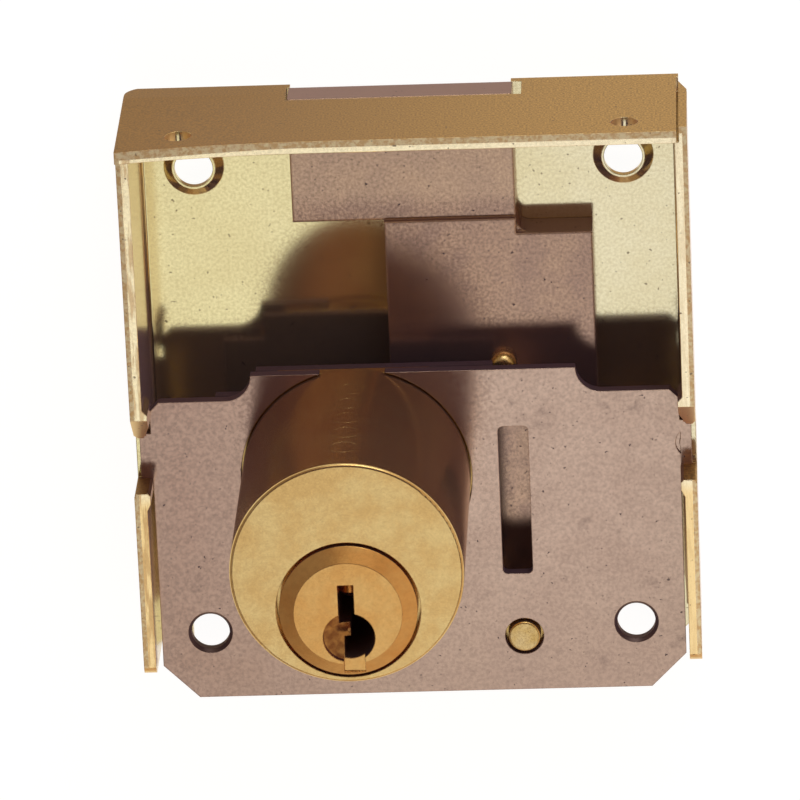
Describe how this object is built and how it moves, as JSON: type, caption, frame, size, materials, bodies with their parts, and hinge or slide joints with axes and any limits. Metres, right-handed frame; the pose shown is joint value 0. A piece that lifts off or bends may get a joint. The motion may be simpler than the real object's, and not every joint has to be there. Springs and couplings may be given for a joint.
{
  "type": "cylinder lock",
  "caption": "Cupboard rim lock: folded brass case, steel cover and sliding bolt worked by a pin-tumbler cylinder.",
  "frame": {"origin": "centre of the lock's outer bounds, on the outer face of the back plate, with the bolt drawn back", "axes": "+Z from the back plate along the cylinder to its key face, +Y the way the bolt is thrown through the selvedge, +X to the right of that seen from the key face"},
  "size_m": [0.054, 0.0588, 0.0374],
  "materials": {
    "case_brass": "rolled sheet brass, satin, bright where cut",
    "cover_steel": "plain steel sheet, dull satin",
    "bolt_steel": "ground steel, fine marks along the bolt",
    "rivet_brass": "turned brass, dull",
    "stud_brass": "turned brass, bright end",
    "cylinder_brass": "turned brass, satin face",
    "plug_brass": "turned brass, brighter than the shell",
    "cam_steel": "turned steel, lightly oiled",
    "pin_brass": "turned brass pins",
    "spring_steel": "drawn spring wire"
  },
  "bodies": {
    "lock_body": {"case": "case_brass", "cover_plate": "cover_steel", "cylinder_shell": "cylinder_brass", "cylinder_clamp_plate": "cover_steel", "pillar_stud": "stud_brass", "guide_studs": "stud_brass", "chamber_caps": "cylinder_brass", "pin_spring_1": "spring_steel", "pin_spring_2": "spring_steel", "pin_spring_3": "spring_steel", "pin_spring_4": "spring_steel", "pin_spring_5": "spring_steel"},
    "bolt": {"bolt": "bolt_steel", "bolt_rivet": "rivet_brass"},
    "plug": {"plug": "plug_brass", "cam_screw": "cam_steel"},
    "cam": {"lost_motion_cam": "cam_steel", "crank_pin": "cam_steel"},
    "driver_1": {"driver_pin_1": "pin_brass"},
    "driver_2": {"driver_pin_2": "pin_brass"},
    "driver_3": {"driver_pin_3": "pin_brass"},
    "driver_4": {"driver_pin_4": "pin_brass"},
    "driver_5": {"driver_pin_5": "pin_brass"},
    "key_1": {"key_pin_1": "pin_brass"},
    "key_2": {"key_pin_2": "pin_brass"},
    "key_3": {"key_pin_3": "pin_brass"},
    "key_4": {"key_pin_4": "pin_brass"},
    "key_5": {"key_pin_5": "pin_brass"}
  },
  "joints": [
    {"name": "plug_turn", "type": "hinge", "parent": "lock_body", "child": "plug", "pos_m": [-0.0058, -0.01047, 0.02], "axis": [0, 0, 1], "range_deg": [0, 360]},
    {"name": "cam_turn", "type": "hinge", "parent": "lock_body", "child": "cam", "pos_m": [-0.0058, -0.01047, 0.007], "axis": [0, 0, 1], "range_deg": [0, 180]},
    {"name": "bolt_slide", "type": "slide", "parent": "lock_body", "child": "bolt", "axis": [0, 1, 0], "range_m": [0, 0.01]},
    {"name": "driver_1_slide", "type": "slide", "parent": "lock_body", "child": "driver_1", "axis": [0, 1, 0], "range_m": [-0.0003, 0.001], "deforming": ["pin_spring_1"]},
    {"name": "driver_2_slide", "type": "slide", "parent": "lock_body", "child": "driver_2", "axis": [0, 1, 0], "range_m": [-0.0018, 0.001], "deforming": ["pin_spring_2"]},
    {"name": "driver_3_slide", "type": "slide", "parent": "lock_body", "child": "driver_3", "axis": [0, 1, 0], "range_m": [-0.001, 0.001], "deforming": ["pin_spring_3"]},
    {"name": "driver_4_slide", "type": "slide", "parent": "lock_body", "child": "driver_4", "axis": [0, 1, 0], "range_m": [-0.0026, 0.001], "deforming": ["pin_spring_4"]},
    {"name": "driver_5_slide", "type": "slide", "parent": "lock_body", "child": "driver_5", "axis": [0, 1, 0], "range_m": [-0.0014, 0.001], "deforming": ["pin_spring_5"]},
    {"name": "key_1_slide", "type": "slide", "parent": "plug", "child": "key_1", "axis": [0, 1, 0], "range_m": [-0.0003, 0.001]},
    {"name": "key_2_slide", "type": "slide", "parent": "plug", "child": "key_2", "axis": [0, 1, 0], "range_m": [-0.0018, 0.001]},
    {"name": "key_3_slide", "type": "slide", "parent": "plug", "child": "key_3", "axis": [0, 1, 0], "range_m": [-0.001, 0.001]},
    {"name": "key_4_slide", "type": "slide", "parent": "plug", "child": "key_4", "axis": [0, 1, 0], "range_m": [-0.0026, 0.001]},
    {"name": "key_5_slide", "type": "slide", "parent": "plug", "child": "key_5", "axis": [0, 1, 0], "range_m": [-0.0014, 0.001]}
  ],
  "couplings": [
    {"joint": "plug_turn", "follows": "bolt_slide", "rad_per_m": 628.32},
    {"joint": "cam_turn", "follows": "bolt_slide", "rad_per_m": 314.16},
    {"joint": "key_1_slide", "follows": "driver_1_slide", "ratio": 1},
    {"joint": "key_2_slide", "follows": "driver_2_slide", "ratio": 1},
    {"joint": "key_3_slide", "follows": "driver_3_slide", "ratio": 1},
    {"joint": "key_4_slide", "follows": "driver_4_slide", "ratio": 1},
    {"joint": "key_5_slide", "follows": "driver_5_slide", "ratio": 1}
  ]
}
